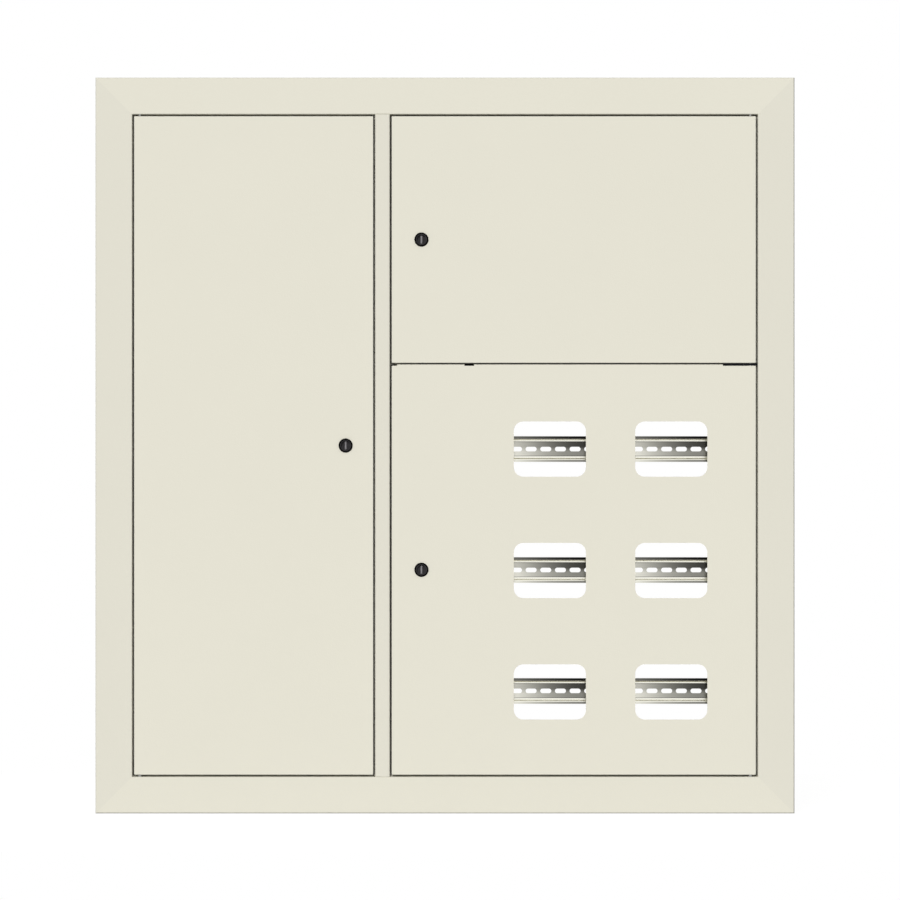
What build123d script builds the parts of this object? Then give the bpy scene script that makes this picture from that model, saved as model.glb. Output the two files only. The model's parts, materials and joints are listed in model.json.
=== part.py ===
from build123d import *
import os

# Floor distribution board: a flush steel cabinet for a wall niche on a storey landing.
# Millimetres. X runs right, Y runs back into the niche and Z runs up.
# The origin is at the middle of the back plane.

# Whole board
frame_width = 950
frame_height = 1000
board_depth = 150
sheet = 1.2
bend_radius = 0.8

# Front trim, folded from four strips that meet in mitres
trim_face = 50
trim_fall = 1.5
trim_return = 12
jamb_depth = 17
stop_width = 14

# Door bays
left_bay_width = 330
mullion_face = 20
upper_bay_height = 339
transom_height = 30
transom_flange = 12

# Box behind the trim
box_inset = 40
box_flange = 25
wall_hole_radius = 4.5
wall_hole_end = 60
riser_length = 110
riser_width = 60
riser_corner = 10
riser_setback = 70
left_riser_offset = 175
right_riser_offset = 85
divider_flange = 15
divider_clearance = 0.2

# Doors
door_gap = 2
split_gap = 1.4
door_flange = 12
door_corner = 2.5
stiffener_width = 40
stiffener_depth = 9
stiffener_foot = 12
stiffener_length = 780

# Windows of the consumer door
window_width = 98
window_height = 75
window_corner = 13
window_pitch = 165
window_columns = 2
window_rows = 3
window_side_margin = 68.5
window_row_drop = 1

# Hinges: pins that stand in the trim and turn in leaves inside the doors
hinge_setback = 10
hinge_depth = 5
hinge_pin_radius = 2
hinge_running_clearance = 0.05
hinge_hole_clearance = 0.6
hinge_head_radius = 3.2
hinge_head_height = 1.5
hinge_collar_radius = 2.8
hinge_collar_clearance = 0.2
hinge_pin_end = 3
leaf_sheet = 2
leaf_length = 26
leaf_leg = 18
leaf_setback = 0.5
hinge_plate_length = 44
hinge_plate_thickness = 2.4
hinge_plate_setback = 2
hinge_plate_clearance = 0.3
hinge_notch_depth = 2
corner_notch_length = 8
flange_notch_length = 13
flange_notch_offset = 106

# Quarter-turn locks
left_lock_setback = 40
right_lock_setback = 43
lock_head_radius = 9.6
lock_head_height = 2.2
lock_head_edge = 0.8
lock_barrel_radius = 8.6
lock_hole_clearance = 0.15
lock_socket_radius = 7.6
lock_socket_depth = 9
plug_clearance = 0.1
plug_disc_thickness = 3
plug_sink = 0.4
plug_wall = 0.9
plug_shaft_radius = 5
key_bar_width = 2.4
key_bar_length = 11
key_bar_sink = 5.6
lock_nut_size = 22
lock_nut_thickness = 4
cam_thickness = 2.5
cam_width = 14
cam_stop_clearance = 0.5
cam_engagement = 8
cam_square = 6
cam_fit = 0.05
cam_screw_radius = 1.5
cam_screw_depth = 8
cam_screw_size = 8
cam_screw_head_height = 2

# Rubber seals along the mullion and foam tape on the other door stops
seal_width = 7
seal_setback = 1
seal_clearance = 0.3
tape_thickness = 0.7

# Top-hat rails behind the windows, welded to their uprights
rail_width = 35
rail_inner_width = 27
rail_depth = 7.5
rail_sheet = 1
rail_setback = 46
rail_length = 144
rail_slot_length = 15
rail_slot_width = 6.2
rail_slot_pitch = 20
rail_slot_phase = 5
rail_slot_count = 6
upright_offset = 66
upright_width = 24
upright_depth = 18
upright_sheet = 1.5

# Mounting panels with slotted grids
meter_panel_setback = 90
meter_panel_margin = 30
meter_slot_columns = 6
meter_slot_rows = 3
meter_slot_pitch_x = 75
meter_slot_pitch_z = 90
left_panel_setback = 105
left_panel_height = 420
left_panel_middle = 60
left_slot_columns = 4
left_slot_rows = 4
left_slot_pitch_x = 70
left_slot_pitch_z = 95
panel_slot_length = 30
panel_slot_width = 5.5
panel_flange = 20
shelf_slot_length = 90
shelf_slot_width = 28
shelf_slot_count = 3
shelf_slot_pitch = 150
shelf_slot_setback = 40

# Neutral and earth bars on hexagonal posts that stand on the divider
bar_width = 15
bar_thickness = 4
bar_length = 150
bar_edge = 0.6
bar_middle_z = -150
neutral_setback = 65
earth_setback = 105
bar_post_size = 11
bar_post_length = 20
bar_end_distance = 8

# Earth stud on the bottom wall
stud_radius = 4
stud_length = 25
stud_offset = 55
stud_setback = 125
nut_size = 13
nut_thickness = 6.5
nut_lift = 6
nut_clearance = 0.05

# Planes and lines that the pieces share
front = -board_depth
stop_front = front + jamb_depth
stop_back = stop_front + sheet
bay_right = frame_width / 2 - trim_face
bay_left = -bay_right
bay_top = frame_height / 2 - trim_face
bay_bottom = -bay_top
mullion_left = bay_left + left_bay_width
mullion_right = mullion_left + mullion_face
mullion_middle = (mullion_left + mullion_right) / 2
split = bay_top - upper_bay_height
box_right = frame_width / 2 - box_inset
box_left = -box_right
box_top = frame_height / 2 - box_inset
box_bottom = -box_top
wall_hole_height = box_top - wall_hole_end
left_riser_x = box_left + left_riser_offset
right_riser_x = mullion_middle + right_riser_offset
stud_x = mullion_middle + stud_offset
divider_front = stop_back + sheet + bend_radius + divider_clearance
divider_back = -sheet - bend_radius - divider_clearance
front_flange = trim_face + stop_width - box_inset
left_hinge_x = bay_left + hinge_setback
right_hinge_x = bay_right - hinge_setback
hinge_y = front + hinge_depth

# Door edges
left_door = (bay_left + door_gap, mullion_left - door_gap, bay_bottom + door_gap, bay_top - door_gap)
upper_door = (mullion_right + door_gap, bay_right - door_gap, split + split_gap / 2, bay_top - door_gap)
lower_door = (mullion_right + door_gap, bay_right - door_gap, bay_bottom + door_gap, split - split_gap / 2)
left_lock_x = mullion_left - left_lock_setback
right_lock_x = mullion_right + right_lock_setback


def folded(path, thickness):
    # Section of a sheet folded along a path through the middle of its thickness
    return trace(FilletPolyline(*path, radius=bend_radius + thickness / 2), thickness)


def along_x(section, start, end):
    # Section drawn in Y and Z, drawn out along X
    return Pos(start, 0, 0) * extrude(Plane.YZ * section, end - start, dir=(1, 0, 0))


def along_y(section, start, end):
    # Section drawn in X and Z, drawn out along Y
    return Pos(0, start, 0) * extrude(Plane.XZ * section, end - start, dir=(0, 1, 0))


def along_z(section, start, end):
    # Section drawn in X and Y, drawn out along Z
    return Pos(0, 0, start) * extrude(section, end - start, dir=(0, 0, 1))


def block(x0, x1, y0, y1, z0, z1):
    middle = Pos((x0 + x1) / 2, (y0 + y1) / 2, (z0 + z1) / 2)
    return middle * Box(x1 - x0, y1 - y0, z1 - z0)


def rod_y(radius, start, end, x, z):
    return Pos(x, (start + end) / 2, z) * Rot(90, 0, 0) * Cylinder(radius, end - start)


def rod_z(radius, start, end, x, y):
    return Pos(x, y, (start + end) / 2) * Cylinder(radius, end - start)


def mitred_side(path, length, reach):
    # Top side of a folded frame, with both ends cut at 45 degrees through its corners
    strip = along_x(folded(path, sheet), -length / 2, length / 2)
    outline = Polygon(
        (-length / 2, reach),
        (length / 2, reach),
        (0, reach - length / 2),
        align=None,
    )
    return strip & along_y(outline, front, 0)


def trim_path(reach):
    middle = sheet / 2
    return (
        (front + trim_fall + trim_return, reach - middle),
        (front + trim_fall + middle, reach - middle),
        (front + middle, reach - trim_face + middle),
        (stop_front + middle, reach - trim_face + middle),
        (stop_front + middle, reach - trim_face - stop_width),
    )


def wall_path(reach):
    middle = sheet / 2
    return (
        (stop_back + middle, reach - front_flange),
        (stop_back + middle, reach - middle),
        (-middle, reach - middle),
        (-middle, reach - box_flange),
    )


def make_trim():
    level = mitred_side(trim_path(frame_height / 2), frame_width, frame_height / 2)
    upright = mitred_side(trim_path(frame_width / 2), frame_height, frame_width / 2)
    sides = {
        "top_trim": level,
        "bottom_trim": Rot(0, 180, 0) * level,
        "left_trim": Rot(0, -90, 0) * upright,
        "right_trim": Rot(0, 90, 0) * upright,
    }
    hole = hinge_pin_radius + hinge_running_clearance
    for name, jamb in (("top_trim", bay_top), ("bottom_trim", bay_bottom)):
        for x in (left_hinge_x, right_hinge_x):
            sides[name] -= rod_z(hole, jamb - 2 * sheet, jamb + 2 * sheet, x, hinge_y)
    return sides


def make_walls():
    level = mitred_side(wall_path(box_top), 2 * box_right, box_top)
    upright = mitred_side(wall_path(box_right), 2 * box_top, box_right)
    walls = {
        "top_wall": level,
        "bottom_wall": Rot(0, 180, 0) * level,
        "left_wall": Rot(0, -90, 0) * upright,
        "right_wall": Rot(0, 90, 0) * upright,
    }
    riser = extrude(RectangleRounded(riser_length, riser_width, riser_corner), frame_height, both=True)
    for name in ("top_wall", "bottom_wall"):
        for x in (left_riser_x, right_riser_x):
            walls[name] -= Pos(x, -riser_setback, 0) * riser
    for name, side in (("left_wall", -1), ("right_wall", 1)):
        for z in (-wall_hole_height, wall_hole_height):
            walls[name] -= rod_y(wall_hole_radius, -box_flange, box_flange,
                                 side * (box_right - box_flange / 2), z)
    return walls


def make_mullion():
    middle = sheet / 2
    left = mullion_left + middle
    right = mullion_right - middle
    path = (
        (mullion_left - stop_width, stop_front + middle),
        (left, stop_front + middle),
        (left, front + middle),
        (right, front + middle),
        (right, stop_front + middle),
        (mullion_right + stop_width, stop_front + middle),
    )
    post = along_z(folded(path, sheet), bay_bottom, bay_top)
    for z in (bay_bottom, bay_top):
        post -= block(bay_left, bay_right, stop_front - bend_radius, 0, z - stop_width, z + stop_width)
    return post


def make_transom():
    middle = sheet / 2
    half = transom_height / 2 - middle
    path = (
        (stop_front + transom_flange, split + half),
        (stop_front + middle, split + half),
        (stop_front + middle, split - half),
        (stop_front + transom_flange, split - half),
    )
    return along_x(folded(path, sheet), mullion_right + stop_width, bay_right - stop_width)


def make_divider():
    middle = sheet / 2
    top = box_top - sheet - middle
    path = (
        (mullion_middle + divider_flange, top),
        (mullion_middle, top),
        (mullion_middle, -top),
        (mullion_middle + divider_flange, -top),
    )
    return along_y(folded(path, sheet), divider_front, divider_back)


def make_shelf():
    middle = sheet / 2
    left = mullion_middle + sheet
    right = box_right - sheet - middle
    path = (
        (left, split - divider_flange),
        (left, split),
        (right, split),
        (right, split - divider_flange),
    )
    shelf = along_y(folded(path, sheet), divider_front, divider_back)
    slot = extrude(SlotOverall(shelf_slot_length, shelf_slot_width), board_depth, both=True)
    places = GridLocations(shelf_slot_pitch, 1, shelf_slot_count, 1)
    for place in places:
        shelf -= Pos((left + right) / 2, -shelf_slot_setback, split) * place * slot
    return shelf


def slotted_panel(left, right, setback, bottom, top, columns, rows, pitch_x, pitch_z):
    # Plate between two walls, its sides folded back onto them, with a grid of upright slots
    middle = sheet / 2
    path = (
        (left + middle, setback + panel_flange),
        (left + middle, setback),
        (right - middle, setback),
        (right - middle, setback + panel_flange),
    )
    panel = along_z(folded(path, sheet), bottom, top)
    slot = along_y(Rectangle(panel_slot_width, panel_slot_length), front, 0)
    centre_x = (left + right) / 2
    centre_z = (bottom + top) / 2
    for column in range(columns):
        for row in range(rows):
            x = centre_x + (column - (columns - 1) / 2) * pitch_x
            z = centre_z + (row - (rows - 1) / 2) * pitch_z
            panel -= Pos(x, 0, z) * slot
    return panel


def make_panels():
    divider_left = mullion_middle - sheet / 2
    divider_right = mullion_middle + sheet / 2
    meter_panel = slotted_panel(
        divider_right, box_right - sheet, front + meter_panel_setback,
        split + meter_panel_margin, bay_top - meter_panel_margin,
        meter_slot_columns, meter_slot_rows, meter_slot_pitch_x, meter_slot_pitch_z)
    left_panel = slotted_panel(
        box_left + sheet, divider_left, front + left_panel_setback,
        left_panel_middle - left_panel_height / 2, left_panel_middle + left_panel_height / 2,
        left_slot_columns, left_slot_rows, left_slot_pitch_x, left_slot_pitch_z)
    return {"meter_panel": meter_panel, "low_current_panel": left_panel}


def window_places():
    # Window centres, row by row from the top
    left, right, bottom, top = lower_door
    last_column = bay_right - window_side_margin - window_width / 2
    middle_row = (bottom + top) / 2 - window_row_drop
    places = []
    for row in range(window_rows):
        for column in range(window_columns):
            x = last_column - (window_columns - 1 - column) * window_pitch
            z = middle_row + ((window_rows - 1) / 2 - row) * window_pitch
            places.append((x, z))
    return places


def make_rails():
    rail_front = front + rail_setback
    middle = rail_sheet / 2
    half = rail_width / 2
    inner = rail_inner_width / 2 - middle
    path = (
        (rail_front + middle, half),
        (rail_front + middle, inner),
        (rail_front + rail_depth - middle, inner),
        (rail_front + rail_depth - middle, -inner),
        (rail_front + middle, -inner),
        (rail_front + middle, -half),
    )
    start = -rail_length / 2 + rail_slot_phase
    rail = along_x(folded(path, rail_sheet), start, start + rail_length)
    slot = along_y(SlotOverall(rail_slot_length, rail_slot_width), front, 0)
    for index in range(rail_slot_count):
        offset = (index - (rail_slot_count - 1) / 2) * rail_slot_pitch
        rail -= Pos(offset + rail_slot_phase, 0, 0) * slot
    return {"din_rail_%d" % (number + 1): Pos(x, 0, z) * rail
            for number, (x, z) in enumerate(window_places())}


def make_uprights():
    seat = front + rail_setback + rail_depth
    middle = upright_sheet / 2
    half = upright_width / 2 - middle
    path = (
        (-half, seat + upright_depth),
        (-half, seat + middle),
        (half, seat + middle),
        (half, seat + upright_depth),
    )
    upright = along_z(folded(path, upright_sheet), box_bottom + sheet, split - sheet / 2)
    columns = [x for x, z in window_places()[:window_columns]]
    centres = [x + side * upright_offset for x in columns for side in (-1, 1)]
    return {"rail_upright_%d" % (number + 1): Pos(centre, 0, 0) * upright
            for number, centre in enumerate(centres)}


def door_pan(edges):
    # Folded door: a flat face with four flanges turned back and rounded bends
    left, right, bottom, top = edges
    outer_bend = bend_radius + sheet
    middle = Pos((left + right) / 2, 0, (bottom + top) / 2)
    outline = RectangleRounded(right - left, top - bottom, door_corner)
    pan = along_y(outline, front, front + door_flange)
    pan = fillet(pan.faces().sort_by(Axis.Y)[0].edges(), outer_bend)
    inside = Rectangle(right - left - 2 * sheet, top - bottom - 2 * sheet)
    cavity = along_y(inside, front + sheet, front + door_flange + sheet)
    cavity = fillet(cavity.faces().sort_by(Axis.Y)[0].edges(), bend_radius)
    return middle * (pan - cavity)


def lock_place(edges, x):
    left, right, bottom, top = edges
    return x, (bottom + top) / 2


def make_doors():
    doors = {}
    for name, edges, lock_x, hinge_x in door_list():
        pan = door_pan(edges)
        x, z = lock_place(edges, lock_x)
        pan -= rod_y(lock_barrel_radius + lock_hole_clearance, front - sheet, front + 2 * sheet, x, z)
        left, right, bottom, top = edges
        hole = hinge_pin_radius + hinge_hole_clearance
        pan -= rod_z(hole, bottom - sheet, bottom + 2 * sheet, hinge_x, hinge_y)
        pan -= rod_z(hole, top - 2 * sheet, top + sheet, hinge_x, hinge_y)
        doors[name] = pan
    window = along_y(RectangleRounded(window_width, window_height, window_corner),
                     front - sheet, front + 2 * sheet)
    for x, z in window_places():
        doors["lower_door"] -= Pos(x, 0, z) * window
    left, right, bottom, top = lower_door
    notch = top - hinge_notch_depth
    back = front + 2 * door_flange
    notches = (
        (right - hinge_plate_length - split_gap, right + door_gap),
        (left - door_gap, left + corner_notch_length),
        (left + flange_notch_offset - flange_notch_length / 2,
         left + flange_notch_offset + flange_notch_length / 2),
    )
    for start, end in notches:
        doors["lower_door"] -= block(start, end, front - sheet, back, notch, top + sheet)
    return doors


def door_list():
    return (
        ("left_door", left_door, left_lock_x, left_hinge_x),
        ("upper_door", upper_door, right_lock_x, right_hinge_x),
        ("lower_door", lower_door, right_lock_x, right_hinge_x),
    )


def hinge_leaf(edges, hinge_x, level, turn):
    # Angle inside a door corner; its level leg bears on the pin, its upright leg on the side flange
    left, right, bottom, top = edges
    side = -1 if hinge_x < mullion_middle else 1
    wall = left if side < 0 else right
    upright = wall - side * (sheet + leaf_sheet / 2)
    plate = level - turn * leaf_sheet / 2
    path = (
        (upright - side * leaf_length, plate),
        (upright, plate),
        (upright, plate - turn * leaf_leg),
    )
    start = front + sheet + bend_radius
    leaf = along_y(folded(path, leaf_sheet), start, front + door_flange - leaf_setback)
    hole = hinge_pin_radius + hinge_running_clearance
    return leaf - rod_z(hole, level - leaf_leg, level + leaf_leg, hinge_x, hinge_y)


def leaf_levels():
    # Outer faces of each door's lower and upper hinge leaves
    levels = {}
    for name, edges, lock_x, hinge_x in door_list():
        left, right, bottom, top = edges
        levels[name] = (bottom + sheet, top - sheet)
    bottom, top = levels["lower_door"]
    levels["lower_door"] = (bottom, lower_door[3] - hinge_notch_depth - hinge_plate_clearance)
    return levels


def make_hinges():
    pieces = {}
    levels = leaf_levels()
    for name, edges, lock_x, hinge_x in door_list():
        bottom, top = levels[name]
        pieces[name + "_hinge_leaves"] = [
            hinge_leaf(edges, hinge_x, bottom, -1),
            hinge_leaf(edges, hinge_x, top, 1),
        ]
    seat = bay_top + sheet
    end = bay_top - door_gap - sheet - leaf_sheet - hinge_pin_end
    pins = []
    for x in (left_hinge_x, right_hinge_x):
        pin = rod_z(hinge_head_radius, seat, seat + hinge_head_height, x, hinge_y)
        pin += rod_z(hinge_pin_radius, end, seat, x, hinge_y)
        collar = rod_z(hinge_collar_radius, bay_top - door_gap + hinge_collar_clearance, bay_top,
                       x, hinge_y)
        pins.append(pin)
        pins.append(mirror(pin + collar, about=Plane.XY))
    pieces["hinge_pins"] = pins
    plate_top = upper_door[2] - hinge_plate_clearance
    plate = block(bay_right - door_gap - hinge_plate_length, bay_right, front + hinge_plate_setback,
                  stop_front - bend_radius, plate_top - hinge_plate_thickness, plate_top)
    pin_low = levels["lower_door"][1] - leaf_sheet - hinge_pin_end
    pin_high = levels["upper_door"][0] + leaf_sheet + hinge_pin_end
    plate -= rod_z(hinge_pin_radius, pin_low, pin_high, right_hinge_x, hinge_y)
    pieces["middle_hinge_plate"] = plate
    pieces["middle_hinge_pin"] = rod_z(hinge_pin_radius, pin_low, pin_high, right_hinge_x, hinge_y)
    return pieces


def make_stiffener():
    left, right, bottom, top = left_door
    middle = (left + right) / 2
    half = stiffener_width / 2
    foot = front + sheet + sheet / 2
    crown = foot + stiffener_depth
    path = (
        (middle - half - stiffener_foot, foot),
        (middle - half, foot),
        (middle - half, crown),
        (middle + half, crown),
        (middle + half, foot),
        (middle + half + stiffener_foot, foot),
    )
    centre = (bottom + top) / 2
    return along_z(folded(path, sheet), centre - stiffener_length / 2, centre + stiffener_length / 2)


def make_lock(edges, lock_x, reach):
    # Lock parts on an axis along Y: body in the door, cupped plug with a key bar, nut, cam and screw
    x, z = lock_place(edges, lock_x)
    rim = front - lock_head_height
    floor = rim + lock_socket_depth
    shoulder = floor + plug_disc_thickness
    cam_front = stop_back + cam_stop_clearance
    cam_back = cam_front + cam_thickness
    barrel_end = cam_front - plug_clearance

    head = rod_y(lock_head_radius, rim, front, x, z)
    head = chamfer(head.edges().group_by(Axis.Y)[0], lock_head_edge)
    body = head + rod_y(lock_barrel_radius, front, barrel_end, x, z)
    body -= rod_y(lock_socket_radius, rim, shoulder, x, z)
    body -= rod_y(plug_shaft_radius + plug_clearance, shoulder, barrel_end, x, z)

    plug_radius = lock_socket_radius - plug_clearance
    plug = rod_y(plug_radius, rim + plug_sink, shoulder, x, z)
    plug -= rod_y(plug_radius - plug_wall, rim, floor, x, z)
    plug += rod_y(plug_shaft_radius, shoulder, cam_front, x, z)
    plug += block(x - key_bar_width / 2, x + key_bar_width / 2, rim + key_bar_sink, floor,
                  z - key_bar_length / 2, z + key_bar_length / 2)
    half = cam_square / 2
    plug += block(x - half, x + half, cam_front, cam_back, z - half, z + half)
    plug -= rod_y(cam_screw_radius, cam_back - cam_screw_depth, cam_back, x, z)

    nut = along_y(RegularPolygon(lock_nut_size / 2, 6, major_radius=False), front + sheet,
                  front + sheet + lock_nut_thickness)
    nut = Pos(x, 0, z) * nut
    nut -= rod_y(lock_barrel_radius, front, barrel_end, x, z)

    length = reach + cam_width / 2
    outline = Pos(0, cam_width / 2 - length / 2) * Rot(0, 0, 90) * SlotOverall(length, cam_width)
    cam = Pos(x, 0, z) * along_y(outline, cam_front, cam_back)
    hole = half + cam_fit
    cam -= block(x - hole, x + hole, cam_front - sheet, cam_back + sheet, z - hole, z + hole)

    screw = along_y(RegularPolygon(cam_screw_size / 2, 6, major_radius=False), cam_back,
                    cam_back + cam_screw_head_height)
    screw = Pos(x, 0, z) * screw
    screw += rod_y(cam_screw_radius, cam_back - cam_screw_depth, cam_back, x, z)
    return {"lock_body": body, "lock_nut": nut, "lock_plug": plug, "lock_cam": cam, "cam_screw": screw}


def make_locks():
    pieces = {}
    reaches = {
        "left_door": left_lock_setback - stop_width + cam_engagement,
        "upper_door": right_lock_setback - stop_width + cam_engagement,
        "lower_door": right_lock_setback - stop_width + cam_engagement,
    }
    for name, edges, lock_x, hinge_x in door_list():
        for piece, solid in make_lock(edges, lock_x, reaches[name]).items():
            pieces[name.replace("door", piece)] = solid
    return pieces


def make_seals():
    # Strips on the mullion that the lock sides of the doors close against
    tip = front + door_flange + seal_clearance
    strips = []
    for name, edges, lock_x, hinge_x in door_list():
        left, right, bottom, top = edges
        if hinge_x < mullion_middle:
            start = mullion_left - seal_setback - seal_width
        else:
            start = mullion_right + seal_setback
        strips.append(block(start, start + seal_width, tip, stop_front, bottom, top))
    return strips


def make_tape():
    # Thin strips on the stops of the trim and on the transom
    face = stop_front - tape_thickness
    outer = seal_setback
    inner = seal_setback + seal_width
    strips = [
        block(bay_left + outer, bay_left + inner, face, stop_front, bay_bottom + outer, bay_top - outer),
        block(bay_right - inner, bay_right - outer, face, stop_front, bay_bottom + outer, bay_top - outer),
        block(mullion_right + stop_width, bay_right - stop_width, face, stop_front,
              split - seal_width / 2, split + seal_width / 2),
    ]
    for start, end in ((bay_left + inner, mullion_left - inner), (mullion_right + inner, bay_right - inner)):
        strips.append(block(start, end, face, stop_front, bay_top - inner, bay_top - outer))
        strips.append(block(start, end, face, stop_front, bay_bottom + outer, bay_bottom + inner))
    return strips


def make_bars():
    seat = mullion_middle + sheet / 2
    start = seat + bar_post_length
    end = start + bar_thickness
    post = along_x(RegularPolygon(bar_post_size / 2, 6, major_radius=False), seat, start)
    pieces = {}
    posts = []
    for name, setback in (("neutral_bar", neutral_setback), ("earth_bar", earth_setback)):
        y = front + setback
        bar = block(start, end, y - bar_width / 2, y + bar_width / 2,
                    bar_middle_z - bar_length / 2, bar_middle_z + bar_length / 2)
        pieces[name] = chamfer(bar.faces().sort_by(Axis.X)[-1].edges(), bar_edge)
        for side in (-1, 1):
            z = bar_middle_z + side * (bar_length / 2 - bar_end_distance)
            posts.append(Pos(0, y, z) * post)
    pieces["bar_posts"] = posts
    return pieces


def make_earth_stud():
    seat = box_bottom + sheet
    y = front + stud_setback
    nut = along_z(RegularPolygon(nut_size / 2, 6, major_radius=False), seat + nut_lift,
                  seat + nut_lift + nut_thickness)
    nut = Pos(stud_x, y, 0) * nut
    nut -= rod_z(stud_radius + nut_clearance, seat, seat + stud_length, stud_x, y)
    stud = rod_z(stud_radius, seat, seat + stud_length, stud_x, y)
    return {"earth_stud": stud, "earth_nut": nut}


def write_piece(name, shape):
    shapes = shape if isinstance(shape, list) else [shape]
    solids = [solid for item in shapes for solid in item.solids()]
    export_step(solids[0] if len(solids) == 1 else Compound(children=solids), "parts/%s.step" % name)


os.makedirs("parts", exist_ok=True)
board = {}
board.update(make_trim())
board.update(make_walls())
board["mullion"] = make_mullion()
board["transom"] = make_transom()
board["divider"] = make_divider()
board["shelf"] = make_shelf()
board.update(make_panels())
board.update(make_rails())
board.update(make_uprights())
board.update(make_doors())
board["left_door_stiffener"] = make_stiffener()
board.update(make_hinges())
board.update(make_locks())
board["door_seals"] = make_seals()
board["stop_tape"] = make_tape()
board.update(make_bars())
board.update(make_earth_stud())
for piece_name, piece_shape in board.items():
    write_piece(piece_name, piece_shape)
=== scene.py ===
"""Finishes, locks, small fittings and studio for a flush floor distribution board."""

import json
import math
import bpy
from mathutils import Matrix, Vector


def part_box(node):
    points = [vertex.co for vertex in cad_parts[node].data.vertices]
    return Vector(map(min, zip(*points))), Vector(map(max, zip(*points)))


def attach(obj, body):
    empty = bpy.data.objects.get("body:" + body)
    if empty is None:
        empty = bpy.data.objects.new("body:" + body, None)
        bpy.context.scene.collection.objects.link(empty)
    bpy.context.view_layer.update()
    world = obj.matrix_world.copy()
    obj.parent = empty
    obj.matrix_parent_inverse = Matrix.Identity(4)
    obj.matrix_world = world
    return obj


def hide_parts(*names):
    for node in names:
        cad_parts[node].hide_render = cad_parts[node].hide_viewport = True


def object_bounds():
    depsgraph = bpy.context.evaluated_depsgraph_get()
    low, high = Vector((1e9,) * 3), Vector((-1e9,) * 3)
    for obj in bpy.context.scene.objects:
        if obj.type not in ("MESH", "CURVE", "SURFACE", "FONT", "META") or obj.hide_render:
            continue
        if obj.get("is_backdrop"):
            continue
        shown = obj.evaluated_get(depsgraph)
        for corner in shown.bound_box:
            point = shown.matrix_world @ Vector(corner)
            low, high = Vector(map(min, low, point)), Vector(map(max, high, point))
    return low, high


bl_info = {
    "name": "Floor Distribution Board",
    "version": (1, 0, 0),
    "blender": (4, 5, 0),
    "location": "View3D > Sidebar > Board",
    "description": "Finishes and small hardware for a flush storey distribution board",
    "category": "Object",
}

import bpy
from bpy.props import FloatProperty, FloatVectorProperty, IntProperty, PointerProperty
from mathutils import Vector

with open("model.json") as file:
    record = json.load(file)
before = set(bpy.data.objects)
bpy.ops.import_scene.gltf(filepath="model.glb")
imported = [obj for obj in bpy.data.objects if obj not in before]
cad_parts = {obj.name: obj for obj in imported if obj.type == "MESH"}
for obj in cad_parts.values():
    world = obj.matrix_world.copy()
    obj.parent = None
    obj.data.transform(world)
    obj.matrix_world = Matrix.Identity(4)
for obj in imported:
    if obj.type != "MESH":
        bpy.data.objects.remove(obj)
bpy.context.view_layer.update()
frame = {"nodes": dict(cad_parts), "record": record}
finishes = {}

DOORS = ("left", "upper", "lower")
AXES = {"X": 0, "Y": 1, "Z": 2}
BLACK = (0.0, 0.0, 0.0)
WHITE = (1.0, 1.0, 1.0)

# Turns that point a new circle or hexagon along an axis
LATHE_TURN = {"X": (0, math.pi / 2, 0), "Y": (math.pi / 2, 0, 0), "Z": (0, 0, 0)}
HEXAGON_TURN = {"Y": (math.pi / 2, math.pi / 6, 0), "Z": (0, 0, math.pi / 6)}

# Radius of the ring that closes a turned end, and the distance within which points are merged
TINY_RING = 0.0002
TOUCH = 0.000002

# Steps of the rounded edges, and the angles between faces up to which they are shaded as one
RIM_STEPS = 4
BAR_STEPS = 3
SEAL_STEPS = 7
SMOOTH_ANGLE = math.radians(32)
DOME_ANGLE = math.radians(60)

# A hexagon's round ends as a share of its width, and its cutting cone's rise as a multiple of its corners'
END_SHARE = 0.97
CONE_REACH = 1.05

# Share of a rib's width that its slanted edge takes
RIB_EDGE = 0.2

# A weld spot's section: each share of its height with the share of its radius there
DOME = ((0.0, 1.0), (0.5, 0.85), (0.85, 0.55))

# How far the camera sees, as a multiple of its distance
FAR_LIMIT = 10


# Settings that a user would change

def length(name, description, default):
    return FloatProperty(name=name, description=description, default=default, unit="LENGTH", precision=5)


def number(name, description, default):
    return FloatProperty(name=name, description=description, default=default, precision=3)


def portion(name, description, default):
    return FloatProperty(name=name, description=description, default=default, subtype="FACTOR", precision=3,
                         min=0.0, max=1.0)


def degrees(name, description, default):
    return FloatProperty(name=name, description=description, default=math.radians(default), subtype="ANGLE")


def count(name, description, default):
    return IntProperty(name=name, description=description, default=default, min=1)


def tint(name, description, default):
    return FloatVectorProperty(name=name, description=description, default=default, subtype="COLOR",
                               min=0.0, max=1.0)


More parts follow.
